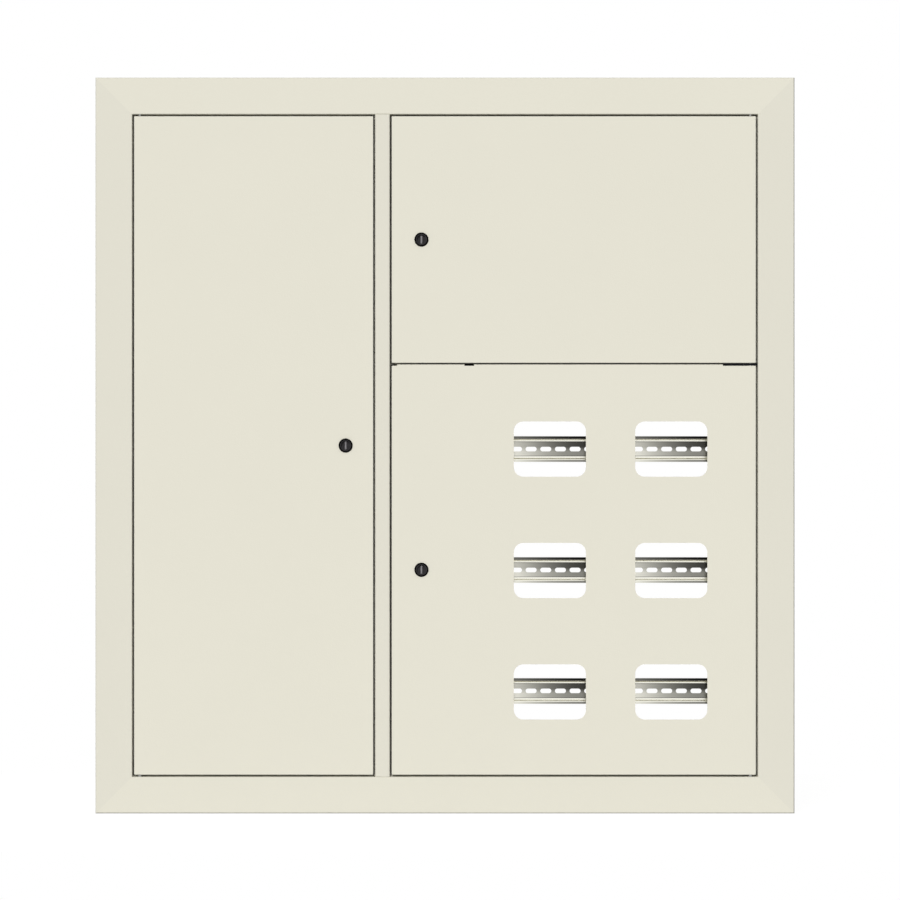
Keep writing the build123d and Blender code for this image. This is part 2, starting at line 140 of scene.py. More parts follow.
class FinishSettings(bpy.types.PropertyGroup):
    """Colours and grain of the board's materials."""

    paint: tint("Paint", "Cream powder coat of the doors and level trims", (0.775, 0.752, 0.644))
    # Painted shade: a darker copy of the coat for the upright trims and the post, standing in for less
    # light falling on them
    shaded_side_paint: tint("Side paint", "The same coat on the upright trims and the post", (0.750, 0.728, 0.628))
    peel_size: length("Orange peel size", "Width of one ripple in the powder coat", 0.0016)
    peel_height: length("Orange peel height", "Height of the ripples in the powder coat", 0.00012)
    # Painted shade along edges: a grey band over the frame's right and bottom bends and around the doors'
    # edges beside the gaps; these set its widths, strength and grey
    frame_shade_width: length("Frame's thin edge", "Width of the frame's bend where the coat is thin", 0.0012)
    door_shade_width: length("Doors' thin edge", "Width of the doors' bends where the coat is thin", 0.0009)
    edge_shade_strength: portion("Thinning", "How far the coat is thinned at the very edge", 1.0)
    edge_shade_colour: tint("Primer", "Grey under the coat", (0.085, 0.085, 0.082))
    zinc: tint("Zinc", "Galvanised sheet", (0.62, 0.63, 0.65))
    zinc_shade: tint("Zinc shade", "Darker crystals of the galvanised sheet", (0.46, 0.47, 0.49))
    # Painted shade: the middle hinge plate is near-black, given as black passivated zinc, to stand in for
    # the shadow in the notch between the doors
    black_zinc: tint("Black zinc", "Black passivated plate of the middle hinge", (0.016, 0.016, 0.018))
    black_shade: tint("Black zinc shade", "Darker crystals of the black plate", (0.008, 0.008, 0.009))
    spangle_size: length("Spangle size", "Width of one zinc crystal", 0.006)
    steel: tint("Bright steel", "Plated hinge pins", (0.40, 0.40, 0.39))
    plastic: tint("Lock plastic", "Black moulding of the lock housings", (0.003, 0.003, 0.003))
    plug: tint("Lock plug", "Dark die casting that turns in the lock", (0.045, 0.043, 0.045))
    key_bar: tint("Key bar", "Worn bar that the key drives", (0.26, 0.25, 0.26))
    brass: tint("Brass", "Neutral and earth bars", (0.74, 0.55, 0.24))
    post: tint("Post", "Moulded insulating posts", (0.03, 0.07, 0.26))
    # Near-black door seals and foam tape: real parts, whose black also stands in for the shade deep in the
    # door gaps, so it is partly painted shade
    rubber: tint("Rubber", "Door seals", (0.007, 0.007, 0.007))
    foam: tint("Foam", "Tape on the door stops", (0.008, 0.008, 0.008))


class RailSettings(bpy.types.PropertyGroup):
    """Painted reflection and shade on the polished rails, set into their colour: pale at the left, dark at
    the right.
    """

    zinc: tint("Zinc", "Warm white of the polished zinc", (1.0, 0.985, 0.88))
    shift: length("Shift", "How far the middle of a window lies from the middle of its rail", -0.005)
    reach: length("Reach", "Half the width that the tones spread over", 0.049)
    slots: length("Slot edge", "Height at which the tone changes across the slots", 0.003)
    # The heights below mark painted bands: the dark upper and lower lips are painted reflection, the bright
    # lines are painted highlights, and the dark lines beside them are painted shade
    lip: length("Upper lip", "Height above the middle where the upper lip starts", 0.0137)
    top_line: length("Upper line", "Height above the middle where the upper bright line starts", 0.0106)
    crease_shade: length("Crease", "Width of the dark line beside each bright line", 0.0012)
    foot_line: length("Lower line", "Depth below the middle where the lower bright line starts", 0.0100)
    foot: length("Lower lip", "Depth below the middle where the lower lip starts", 0.0145)
    lip_pale: portion("Upper lip, pale", "Tone of the upper lip at its left", 0.15)
    lip_dark: portion("Upper lip, dark", "Tone of the upper lip at its right", 0.008)
    upper_pale: portion("Upper web, pale", "Tone over the slots at the left", 0.58)
    upper_dark: portion("Upper web, dark", "Tone over the slots at the right", 0.05)
    lower_pale: portion("Lower web, pale", "Tone under the slots at the left", 0.79)
    lower_dark: portion("Lower web, dark", "Tone under the slots at the right", 0.24)
    crease_tone: portion("Crease tone", "Tone of the dark lines, as a share of the web's", 0.6)
    # Painted highlight: tone of the bright lines along the bends
    line: portion("Bright lines", "Tone of the bright lines along the bends", 0.95)
    foot_pale: portion("Lower lip, pale", "Tone of the lower lip at its left", 0.84)
    foot_dark: portion("Lower lip, dark", "Tone of the lower lip at its right", 0.25)


class LockSettings(bpy.types.PropertyGroup):
    """Sizes of the quarter-turn locks."""

    head_height: length("Head height", "How far the rim stands out of the door", 0.0022)
    rim_round: length("Rim rounding", "Rounding of the rim's outer edge", 0.0009)
    rim_lip: length("Rim lip", "Chamfer of the rim's inner edge", 0.0003)
    barrel: length("Barrel radius", "Radius over the thread", 0.0086)
    bore: length("Bore radius", "Radius of the bore that the plug turns in", 0.0076)
    shoulder: length("Bore depth", "Depth of the bore behind the rim", 0.012)
    shaft_bore: length("Shaft bore", "Radius of the narrow bore", 0.0051)
    pitch: length("Thread pitch", "Distance from one thread crest to the next", 0.00125)
    thread: length("Thread depth", "Depth of the thread", 0.0005)
    plug: length("Plug radius", "Radius of the turning plug", 0.0075)
    cup: length("Socket radius", "Radius of the key socket", 0.0066)
    socket: length("Socket depth", "Depth of the key socket behind the rim", 0.009)
    plug_sink: length("Plug sink", "How far the plug lies behind the rim", 0.0004)
    plug_edge: length("Plug edge", "Chamfer around the plug's mouth", 0.00025)
    shaft: length("Shaft radius", "Radius of the plug's shaft", 0.005)
    square: length("Square", "Width of the square that carries the cam", 0.006)
    bar_width: length("Key bar width", "Thickness of the key bar", 0.0024)
    bar_length: length("Key bar length", "Length of the key bar", 0.011)
    bar_sink: length("Key bar sink", "How far the bar lies behind the rim", 0.0056)
    bar_round: length("Key bar rounding", "Rounding of the bar's edges", 0.0004)
    nut: length("Nut width", "Width of the lock nut across its flats", 0.022)
    cam_screw: length("Cam screw width", "Width of the cam screw across its flats", 0.008)
    cam_screw_head: length("Cam screw head", "Height of the cam screw's head", 0.002)
    points: count("Points", "Points around a turned lock part", 64)


class FittingSettings(bpy.types.PropertyGroup):
    """Sizes of the fittings inside the board."""

    clamp_count: count("Clamp screws", "Clamp screws on each bar", 8)
    clamp_pitch: length("Clamp pitch", "Distance from one clamp screw to the next", 0.0125)
    clamp_radius: length("Clamp head", "Radius of a clamp screw's head", 0.0031)
    clamp_height: length("Clamp height", "Height of a clamp screw's head", 0.0024)
    clamp_edge: length("Clamp edge", "Rounding of a clamp screw's head", 0.0006)
    clamp_slot: length("Clamp slot", "Width of the slot in a clamp screw", 0.0009)
    end_distance: length("Post distance", "Distance of a post from the bar's end", 0.008)
    post_radius: length("Post radius", "Radius over the ribs of a post", 0.0055)
    post_waist: length("Post waist", "Radius between the ribs of a post", 0.0043)
    post_ribs: count("Post ribs", "Ribs on each post", 4)
    stud: length("Stud radius", "Radius over the thread of the earth stud", 0.004)
    stud_pitch: length("Stud pitch", "Thread pitch of the earth stud", 0.00125)
    stud_thread: length("Stud thread", "Thread depth of the earth stud", 0.0006)
    earth_nut: length("Earth nut width", "Width of the earth nut across its flats", 0.013)
    stop_width: length("Stop width", "Width of the post's door stops", 0.014)
    seal_setback: length("Seal setback", "Distance of a seal from the post's side", 0.001)
    seal_width: length("Seal width", "Width of a door seal", 0.007)
    seal_round: length("Seal rounding", "Rounding of a seal's face", 0.0032)
    spot_radius: length("Weld spot radius", "Radius of a weld spot", 0.0024)
    spot_height: length("Weld spot height", "Height of a weld spot", 0.0003)
    spot_pitch: length("Weld spot pitch", "Distance from one weld spot to the next", 0.095)
    spot_gap: length("Weld spot gap", "Space without weld spots beside the post's middle", 0.035)
    spot_lift: length("Weld spot lift", "Distance of a rail's weld spots from its middle", 0.0072)
    rail_sheet: length("Rail sheet", "Thickness of the rails' sheet", 0.001)
    points: count("Points", "Points around a small turned part", 32)


class StageSettings(bpy.types.PropertyGroup):
    """Camera, light and floor."""

    distance: length("Camera distance", "Distance of the camera from the doors", 12.0)
    view_width: length("View width", "Width that the picture shows at the doors", 1.2229)
    shift_x: length("Camera right", "How far the camera stands to the right of the middle", 0.0068)
    shift_z: length("Camera up", "How far the camera stands above the middle", -0.0061)
    floor_size: length("Floor size", "Side of the floor", 2.6)
    floor_tone: portion("Floor tone", "Share of light that the floor gives back", 0.25)
    floor_white: number("Floor white", "Level at which the floor shows where nothing shades it", 1.02)
    sky: number("Sky", "Level of the even light from all round", 0.42)
    key: number("Key light", "Level of the soft light from the front", 1.90)
    key_spread: degrees("Key spread", "Angle that the light from the front comes from", 14.0)
    key_left: number("Key left", "How far to the left the light comes from, per metre of its way", 0.13)
    key_above: number("Key above", "How far from above the light comes, per metre of its way", 0.22)
    back: number("Back light", "Level of the soft light from straight behind", 1.20)
    back_spread: degrees("Back spread", "Angle that the light from behind comes from", 4.0)


# Node trees

class Value:
    """A socket that a node gives out. Sums on it add Math nodes to its tree."""

    def __init__(self, tree, socket):
        self.tree = tree
        self.socket = socket

    def joined(self, operation, first, second):
        return self.tree.node("ShaderNodeMath", {"operation": operation}, {0: first, 1: second})

    def __add__(self, other):
        return self.joined("ADD", self, other)

    def __radd__(self, other):
        return self.joined("ADD", other, self)

    def __sub__(self, other):
        return self.joined("SUBTRACT", self, other)

    def __rsub__(self, other):
        return self.joined("SUBTRACT", other, self)

    def __mul__(self, other):
        return self.joined("MULTIPLY", self, other)

    def __rmul__(self, other):
        return self.joined("MULTIPLY", other, self)

    def __truediv__(self, other):
        return self.joined("DIVIDE", self, other)

    def __gt__(self, other):
        return self.joined("GREATER_THAN", self, other)

    def __lt__(self, other):
        return self.joined("LESS_THAN", self, other)


class Tree:
    """A node tree that is built up node by node."""

    def __init__(self, nodes_of):
        nodes_of.use_nodes = True
        self.nodes = nodes_of.node_tree.nodes
        self.links = nodes_of.node_tree.links
        self.nodes.clear()

    def node(self, kind, settings=None, sockets=None, output=0):
        made = self.nodes.new(kind)
        for name, setting in (settings or {}).items():
            setattr(made, name, setting)
        for name, value in (sockets or {}).items():
            if isinstance(value, Value):
                self.links.new(value.socket, made.inputs[name])
            else:
                made.inputs[name].default_value = value
        return Value(self, made.outputs[output]) if made.outputs else None

    def place(self):
        """Where on the board a point lies."""
        return self.node("ShaderNodeTexCoord", output="Object")

    def noise(self, per_metre, layers, output=0):
        """Noise with so many ripples to a metre, in some layers of detail."""
        sockets = {"Vector": self.place(), "Scale": per_metre, "Detail": layers}
        return self.node("ShaderNodeTexNoise", {}, sockets, output)

    def streaks(self, per_metre, layers):
        """Noise with its own number of ripples to a metre along each axis."""
        drawn_out = self.node("ShaderNodeMapping", {}, {"Vector": self.place(), "Scale": per_metre})
        return self.node("ShaderNodeTexNoise", {}, {"Vector": drawn_out, "Scale": 1.0, "Detail": layers})

    def between(self, share, first, second):
        """A colour between two others."""
        colours = {0: share, 6: opaque(first), 7: opaque(second)}
        return self.node("ShaderNodeMix", {"data_type": "RGBA"}, colours, 2)

    def toned(self, share, colour, dark, light):
        """A colour that runs from a darker to a lighter tone."""
        return self.between(share, lighter(colour, dark), lighter(colour, light))

    def blended(self, share, first, second):
        """A number between two others."""
        return first + share * (second - first)

    def along(self, axis):
        """How far along an axis a point lies."""
        return self.node("ShaderNodeSeparateXYZ", {}, {"Vector": self.place()}, axis)

    def larger(self, first, second):
        return self.node("ShaderNodeMath", {"operation": "MAXIMUM"}, {0: first, 1: second})

    def from_nearest(self, axis, middle, pitch):
        """Distance along an axis from the nearest of a row of places that lie a pitch apart."""
        turns = (self.along(axis) - middle) / pitch + 0.5
        return (self.node("ShaderNodeMath", {"operation": "FRACT"}, {0: turns}) - 0.5) * pitch

    def ramped(self, value, low, high):
        """A value that runs from 0 at low to 1 at high."""
        limits = {"Value": value, "From Min": low, "From Max": high}
        return self.node("ShaderNodeMapRange", {"clamp": True}, limits)

    def bumped(self, height, strength, distance):
        sockets = {"Height": height, "Strength": strength, "Distance": distance}
        return self.node("ShaderNodeBump", {}, sockets)


def opaque(colour):
    if isinstance(colour, Value):
        return colour
    return (*colour, 1.0)


def lighter(colour, factor):
    return tuple(min(1.0, part * factor) for part in colour)


def finished(name, fixed, varied):
    """A material whose shader has fixed values and varied inputs; varied is a function of its tree."""
    material = bpy.data.materials.new(name)
    tree = Tree(material)
    sockets = dict(fixed)
    sockets.update(varied(tree))
    shader = tree.node("ShaderNodeBsdfPrincipled", {}, sockets)
    tree.node("ShaderNodeOutputMaterial", {}, {"Surface": shader})
    return material


# Materials

def powder_coat(name, colour, outline, thin, look):
    """Cream coat with fine orange peel, and painted shade that turns it grey over the bends along an
    outline.
    """
    low, high = outline

    def varied(tree):
        peel = tree.noise(per_metre=1 / look.peel_size, layers=2.0)
        mottle = tree.noise(per_metre=7.0, layers=3.0)
        coat = tree.toned(mottle, colour, dark=0.988, light=1.012)
        # Painted shade: a grey band at the front, within the shade width inside the outline
        across, up = tree.along("X"), tree.along("Z")
        past_sides = tree.larger(low.x - across, across - high.x)
        past_ends = tree.larger(low.z - up, up - high.z)
        at_front = tree.along("Y") < low.y + 2 * thin
        bend = tree.ramped(tree.larger(past_sides, past_ends), -thin, -thin / 2) * at_front
        return {
            "Base Color": tree.between(look.edge_shade_strength * bend, coat, look.edge_shade_colour),
            "Roughness": tree.blended(peel, 0.40, 0.52),
            "Normal": tree.bumped(peel, strength=0.9, distance=look.peel_height),
        }
    return finished(name, {"Specular IOR Level": 0.25}, varied)


def right_and_bottom_shade_outline():
    """The frame's outline, widened at its left and top, so that the painted shade falls only on its right
    and bottom bends, away from the light.
    """
    low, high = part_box("right_trim")
    return Vector((-2 * high.x, low.y, low.z)), Vector((high.x, high.y, 2 * high.z))


def door_outline(door):
    """A door's outline. The lower door's is taken up past its top edge, which gets no painted shade."""
    low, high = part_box(door + "_door")
    if door == "lower":
        high.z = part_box("upper_door")[1].z
    return low, high


def galvanised(name, colour, shade, size):
    """Zinc sheet with feathered crystals and a fine grain."""
    def varied(tree):
        drift = tree.noise(per_metre=3 / size, layers=4.0, output="Color")
        feathered = tree.node("ShaderNodeVectorMath", {"operation": "MULTIPLY_ADD"},
                              {0: drift, 1: (size, size, size), 2: tree.place()})
        crystals = tree.node("ShaderNodeTexVoronoi", {"feature": "SMOOTH_F1"},
                             {"Vector": feathered, "Scale": 1 / size, "Smoothness": 0.4}, "Color")
        facet = tree.node("ShaderNodeSeparateColor", {}, {"Color": crystals}, "Red")
        grain = 0.7 * facet + 0.3 * tree.noise(per_metre=10 / size, layers=2.0)
        scuff = tree.noise(per_metre=60.0, layers=4.0)
        return {
            "Base Color": tree.between(grain, shade, colour),
            "Roughness": tree.blended(grain, 0.30, 0.42) + 0.10 * scuff,
            "Normal": tree.bumped(scuff, strength=0.10, distance=0.0001),
        }
    return finished(name, {"Metallic": 1.0}, varied)


def drawn_metal(name, colour, lines_per_metre, roughness):
    """Bright metal with fine drawing lines along one direction."""
    def varied(tree):
        lines = tree.streaks(lines_per_metre, layers=3.0)
        return {
            "Base Color": tree.toned(lines, colour, dark=0.86, light=1.08),
            "Roughness": tree.blended(lines, roughness, roughness + 0.16),
            "Normal": tree.bumped(lines, strength=0.12, distance=0.00005),
        }
    return finished(name, {"Metallic": 1.0}, varied)


def moulded(name, colour, roughness, grain, gloss):
    """Plastic or rubber with a fine grain and a faint bloom."""
    def varied(tree):
        texture = tree.noise(per_metre=1 / grain, layers=2.0)
        bloom = tree.noise(per_metre=180.0, layers=3.0)
        return {
            "Base Color": tree.toned(bloom, colour, dark=0.75, light=1.25),
            "Roughness": tree.blended(texture, roughness, roughness + 0.15),
            "Normal": tree.bumped(texture, strength=0.3, distance=0.00004),
        }
    return finished(name, {"Specular IOR Level": gloss}, varied)


def die_cast(name, colour):
    """Dull casting with a sandy grain and worn patches."""
    def varied(tree):
        grain = tree.noise(per_metre=1400.0, layers=3.0)
        wear = tree.noise(per_metre=320.0, layers=4.0)
        return {
            "Base Color": tree.toned(wear, colour, dark=0.7, light=1.3),
            "Roughness": tree.blended(grain, 0.42, 0.62),
            "Normal": tree.bumped(grain, strength=0.25, distance=0.00005),
        }
    return finished(name, {"Specular IOR Level": 0.10}, varied)


def foam_tape(name, colour):
    """Foam with small open cells."""
    def varied(tree):
        cells = tree.node("ShaderNodeTexVoronoi", {}, {"Vector": tree.place(), "Scale": 1500.0}, "Distance")
        return {
            "Base Color": tree.toned(cells, colour, dark=0.6, light=1.5),
            "Roughness": tree.blended(cells, 0.85, 0.95),
            "Normal": tree.bumped(cells, strength=0.5, distance=0.0002),
        }
    return finished(name, {"Specular IOR Level": 0.15}, varied)


def zinc_with_painted_reflections(name, rail):
    """Polished zinc with painted reflection, highlights and shade, its tone set by the place across and
    along each rail.
    """
    first, beside, below = (middle_of("din_rail_%d" % index) for index in (1, 2, 3))

    def varied(tree):
        across = tree.from_nearest("X", first.x + rail.shift, beside.x - first.x)
        up = tree.from_nearest("Z", first.z, first.z - below.z)
        # Painted reflection: pale at the left of each rail's window, dark at its right
        right = tree.ramped(across, -rail.reach, rail.reach)
        pale = (1 - right) * (1 - right)
        haze = tree.streaks(per_metre=(40.0, 40.0, 900.0), layers=3.0)

        upper = tree.blended(pale, rail.upper_dark, rail.upper_pale)
        lower = tree.blended(pale, rail.lower_dark, rail.lower_pale)
        web = tree.blended(tree.ramped(up, rail.slots, -rail.slots), upper, lower)
        # Painted shade beside the bends, painted highlights along them, and painted reflection on the lips
        crease_shade = (up > rail.top_line - rail.crease_shade) + (up < rail.crease_shade - rail.foot_line)
        tone = tree.blended(crease_shade, web, rail.crease_tone * web)
        tone = tree.blended((up > rail.top_line) + (up < -rail.foot_line), tone, rail.line)
        tone = tree.blended(up > rail.lip, tone, tree.blended(pale, rail.lip_dark, rail.lip_pale))
        tone = tree.blended(up < -rail.foot, tone, tree.blended(pale, rail.foot_dark, rail.foot_pale))
        return {
            "Base Color": tree.between(tone * tree.blended(haze, 0.88, 1.12), BLACK, rail.zinc),
            "Roughness": tree.blended(haze, 0.10, 0.20),
            "Normal": tree.bumped(haze, strength=0.03, distance=0.0001),
        }
    return finished(name, {"Metallic": 1.0}, varied)


def make_finishes(look, rail):
    """Every finish, by its name."""
    # The frame's coats carry painted shade along the frame's right and bottom bends
    outline, bend = right_and_bottom_shade_outline(), look.frame_shade_width
    made = {
        "cream_paint": powder_coat("cream_powder_coat", look.paint, outline, bend, look),
        # The darker copy of the coat for the uprights is painted shade
        "shaded_side_paint": powder_coat("cream_powder_coat_shaded_sides", look.shaded_side_paint, outline, bend, look),
        "zinc_plate": galvanised("galvanised_sheet", look.zinc, look.zinc_shade, look.spangle_size),
        # Near-black hinge plate: painted shade for the notch between the doors
        "black_zinc": galvanised("black_zinc", look.black_zinc, look.black_shade, look.spangle_size),
        "zinc_with_painted_reflections": zinc_with_painted_reflections("zinc_with_painted_reflections", rail),
        "bright_steel": drawn_metal("bright_steel", look.steel, (900.0, 900.0, 60.0), roughness=0.18),
        "bar_brass": drawn_metal("drawn_brass", look.brass, (1200.0, 1200.0, 50.0), roughness=0.24),
        "lock_plastic": moulded("black_moulding", look.plastic, roughness=0.34, grain=0.0005, gloss=0.02),
        "post_plastic": moulded("insulating_moulding", look.post, roughness=0.36, grain=0.0006, gloss=0.30),
        # The seals' rubber and the foam tape below are near-black partly as painted shade for the door gaps
        "seal_rubber": moulded("seal_rubber", look.rubber, roughness=0.62, grain=0.0004, gloss=0.10),
        "plug_metal": die_cast("dark_die_casting", look.plug),
        "key_bar": die_cast("worn_key_bar", look.key_bar),
        "tape_foam": foam_tape("foam_tape", look.foam),
    }
    # Each door's coat carries painted shade along its edges beside the gaps, except the lower door's top
    # edge
    for door in DOORS:
        coat = powder_coat(door + "_door_coat", look.paint, door_outline(door), look.door_shade_width, look)
        made[door + "_door"] = coat
    return made


def finish_named(name):
    """The material of a finish. All of them are made when the first is asked for."""
    if not finishes:
        scene = bpy.context.scene
        finishes.update(make_finishes(scene.board_finishes, scene.board_rails))
    return finishes[name]


# Modelling steps

def start_fresh():
    """Leave edit mode and select nothing, so that the next step acts on its own piece alone."""
    if bpy.context.mode != "OBJECT":
        bpy.ops.object.mode_set(mode="OBJECT")
    bpy.ops.object.select_all(action="DESELECT")


def take(piece):
    start_fresh()
    piece.select_set(True)
    bpy.context.view_layer.objects.active = piece


def settle():
    """Put the active piece's place into its mesh, with its faces outwards."""
    bpy.ops.object.mode_set(mode="EDIT")
    bpy.ops.mesh.select_all(action="SELECT")
    bpy.ops.mesh.normals_make_consistent(inside=False)
    bpy.ops.object.mode_set(mode="OBJECT")
    bpy.ops.object.transform_apply(location=True, rotation=True, scale=True)
    return bpy.context.object


def on_axis(centre, axis, place):
    at = Vector(centre)
    at[AXES[axis]] = place
    return at


def turned(profile, axis, centre, points):
    """A piece turned on an axis. The profile lists places along the axis with their radius.

    A profile that comes back to its start is a closed ring; the ends of any other are capped."""
    start_fresh()
    place, radius = profile[0]
    bpy.ops.mesh.primitive_circle_add(vertices=points, radius=radius, fill_type="NOTHING",
                                      location=on_axis(centre, axis, place), rotation=LATHE_TURN[axis])
    bpy.ops.object.mode_set(mode="EDIT")
    bpy.ops.mesh.select_all(action="SELECT")
    for next_place, next_radius in profile[1:]:
        step = Vector((0, 0, 0))
        step[AXES[axis]] = next_place - place
        bpy.ops.mesh.extrude_region_move(TRANSFORM_OT_translate={"value": step})
        factor = [next_radius / radius] * 3
        factor[AXES[axis]] = 1
        bpy.ops.transform.resize(value=factor, center_override=on_axis(centre, axis, next_place))
        place, radius = next_place, next_radius
    bpy.ops.mesh.select_all(action="SELECT")
    bpy.ops.mesh.remove_doubles(threshold=TOUCH)
    bpy.ops.mesh.fill_holes(sides=0)
    bpy.ops.object.mode_set(mode="OBJECT")
    return settle()


def quarter(place, radius, size):
    """Points of a quarter round about a centre, from its front to its outer side."""
    points = []
    for step in range(RIM_STEPS + 1):
        angle = math.pi / 2 * step / RIM_STEPS
        points.append((place - size * math.cos(angle), radius + size * math.sin(angle)))
    return points


def thread(start, end, crest, depth, pitch):
    """A profile of thread crests and roots from start to end."""
    turns = max(1, int(abs(end - start) / pitch))
    step = (end - start) / turns
    points = []
    for turn in range(turns):
        points.append((start + turn * step, crest))
        points.append((start + (turn + 0.5) * step, crest - depth))
    points.append((end, crest))
    return points


def block(low, high):
    start_fresh()
    low, high = Vector(low), Vector(high)
    bpy.ops.mesh.primitive_cube_add(size=1, location=(low + high) / 2, scale=high - low)
    return settle()


def rounded(piece, width, segments):
    take(piece)
    edge = piece.modifiers.new("edge", "BEVEL")
    edge.width = width
    edge.segments = segments
    edge.limit_method = "ANGLE"
    bpy.ops.object.modifier_apply(modifier=edge.name)
    return piece


def carved(piece, tool, operation):
    """The piece after a cut, joint or overlap with a tool, which is used up."""
    take(piece)
    cut = piece.modifiers.new("cut", "BOOLEAN")
    cut.operation = operation
    cut.solver = "EXACT"
    cut.object = tool
    bpy.ops.object.modifier_apply(modifier=cut.name)
    bpy.data.objects.remove(tool, do_unlink=True)
    return piece


def hexagon(width, low, high, axis, centre, points):
    """A hexagon bar with both ends chamfered in a cone, as nuts and screw heads have."""
    start_fresh()
    corner = width / 2 / math.cos(math.pi / 6)
    bpy.ops.mesh.primitive_cylinder_add(vertices=6, radius=corner, depth=high - low,
                                        location=on_axis(centre, axis, (low + high) / 2),
                                        rotation=HEXAGON_TURN[axis])
    bar = settle()
    face = END_SHARE * width / 2
    rise = CONE_REACH * (corner - face)
    fall = rise * math.tan(math.pi / 6)
    profile = [(low, face), (low + fall, face + rise), (high - fall, face + rise), (high, face)]
    return carved(bar, turned(profile, axis, centre, points), "INTERSECT")


def bored(piece, radius, low, high, axis, centre, points):
    """The piece with a round hole along an axis, which runs on past both of its ends."""
    drill = turned([(low - radius, radius), (high + radius, radius)], axis, centre, points)
    return carved(piece, drill, "DIFFERENCE")


def copied(piece, move):
    """A copy with its own mesh, at a move from the piece."""
    take(piece)
    bpy.ops.object.duplicate()
    bpy.ops.transform.translate(value=move)
    bpy.ops.object.transform_apply(location=True, rotation=True, scale=True)
    return bpy.context.object


def joined(pieces):
    start_fresh()
    for piece in pieces:
        piece.select_set(True)
    bpy.context.view_layer.objects.active = pieces[0]
    bpy.ops.object.join()
    return bpy.context.object


def smooth(piece, angle=SMOOTH_ANGLE):
    take(piece)
    bpy.ops.object.shade_smooth_by_angle(angle=angle)
    return piece


def hand_over(piece, name, body, slot, finish, *nodes):
    """Name a finished piece, colour it, tie it to its body and hide the nodes it stands for. The slot is
    not used.
    """
    piece.name = name
    piece.data.name = name
    piece.data.materials.clear()
    piece.data.materials.append(finish_named(finish))
    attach(piece, body)
    if nodes:
        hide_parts(*nodes)
    return piece


def middle_of(node):
    low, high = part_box(node)
    return (low + high) / 2


def lock_moves():
    """Each door with the move from the left lock to its own."""
    first = middle_of("left_lock_body")
    return [(door, middle_of(door + "_lock_body") - first) for door in DOORS]


def spread_locks(piece, name, body, slot, finish, node):
    """A copy of the left lock's piece for each of the other locks."""
    for door, move in lock_moves():
        own = piece if door == "left" else copied(piece, move)
        nodes = [door + "_" + node] if node else []
        hand_over(own, door + "_" + name, door + "_" + body, slot, finish, *nodes)


# Operators, one for each group of pieces

class BOARD_OT_finishes(bpy.types.Operator):
    """Give every sheet, rail, hinge and bar its material"""
    bl_idname = "board.finishes"
    bl_label = "Finishes"

    def execute(self, context):
        sides = ("left_trim", "right_trim", "mullion")
        for part in frame["record"]["subparts"]:
            node, finish = part["node"], part["material_slot"]
            # The upright trims and the post take the darker copy of the coat, which is painted shade
            if node in sides:
                finish = "shaded_side_paint"
            # The rails take the zinc with painted reflection, highlights and shade
            if node.startswith("din_rail"):
                finish = "zinc_with_painted_reflections"
            if node.endswith("_door"):
                finish = node
            materials = frame["nodes"][node].data.materials
            materials.clear()
            materials.append(finish_named(finish))
        return {"FINISHED"}


class BOARD_OT_lock_housings(bpy.types.Operator):
    """Turn the black lock housings, with a rounded rim and a threaded barrel"""
    bl_idname = "board.lock_housings"
    bl_label = "Lock Housings"

    def execute(self, context):
        lock = context.scene.board_locks
        low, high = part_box("left_lock_body")
        rim, end = low.y, high.y
        head = (high.x - low.x) / 2
        inner = rim + lock.shoulder
        front = rim + lock.head_height
        neck = front + 2 * lock.pitch
        profile = [(inner, lock.bore), (rim + lock.rim_lip, lock.bore), (rim, lock.bore + lock.rim_lip)]
        profile += quarter(rim + lock.rim_round, head - lock.rim_round, lock.rim_round)
        profile += [(front, head), (front, lock.barrel), (neck, lock.barrel)]
        profile += thread(neck, end - lock.thread, lock.barrel, lock.thread, lock.pitch)[1:]
        profile += [(end, lock.barrel - lock.thread), (end, lock.shaft_bore)]
        profile += [(inner, lock.shaft_bore), (inner, lock.bore)]
        housing = smooth(turned(profile, "Y", middle_of("left_lock_body"), lock.points))
        spread_locks(housing, "lock_housing", "leaf", "lock_plastic", "lock_plastic", "lock_body")
        return {"FINISHED"}


class BOARD_OT_lock_plugs(bpy.types.Operator):
    """Turn the cupped plugs and square their ends for the cams"""
    bl_idname = "board.lock_plugs"
    bl_label = "Lock Plugs"

    def execute(self, context):
        lock = context.scene.board_locks
        centre = middle_of("left_lock_body")
        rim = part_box("left_lock_body")[0].y
        cam_front, cam_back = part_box("left_lock_cam")[0].y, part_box("left_lock_cam")[1].y
        floor, mouth, edge = rim + lock.socket, rim + lock.plug_sink, lock.plug_edge
        shoulder = rim + lock.shoulder
        profile = [(floor, TINY_RING), (floor, lock.cup - 2 * edge), (floor - 2 * edge, lock.cup),
                   (mouth + edge, lock.cup), (mouth, lock.cup + edge), (mouth, lock.plug - edge),
                   (mouth + edge, lock.plug), (shoulder, lock.plug), (shoulder, lock.shaft),
                   (cam_front, lock.shaft), (cam_front, TINY_RING)]
        plug = turned(profile, "Y", centre, lock.points)
        half = lock.square / 2
        square = block((centre.x - half, cam_front - half, centre.z - half),
                       (centre.x + half, cam_back, centre.z + half))
        plug = smooth(carved(plug, square, "UNION"))
        spread_locks(plug, "turning_plug", "latch", "plug_metal", "plug_metal", "lock_plug")
        return {"FINISHED"}


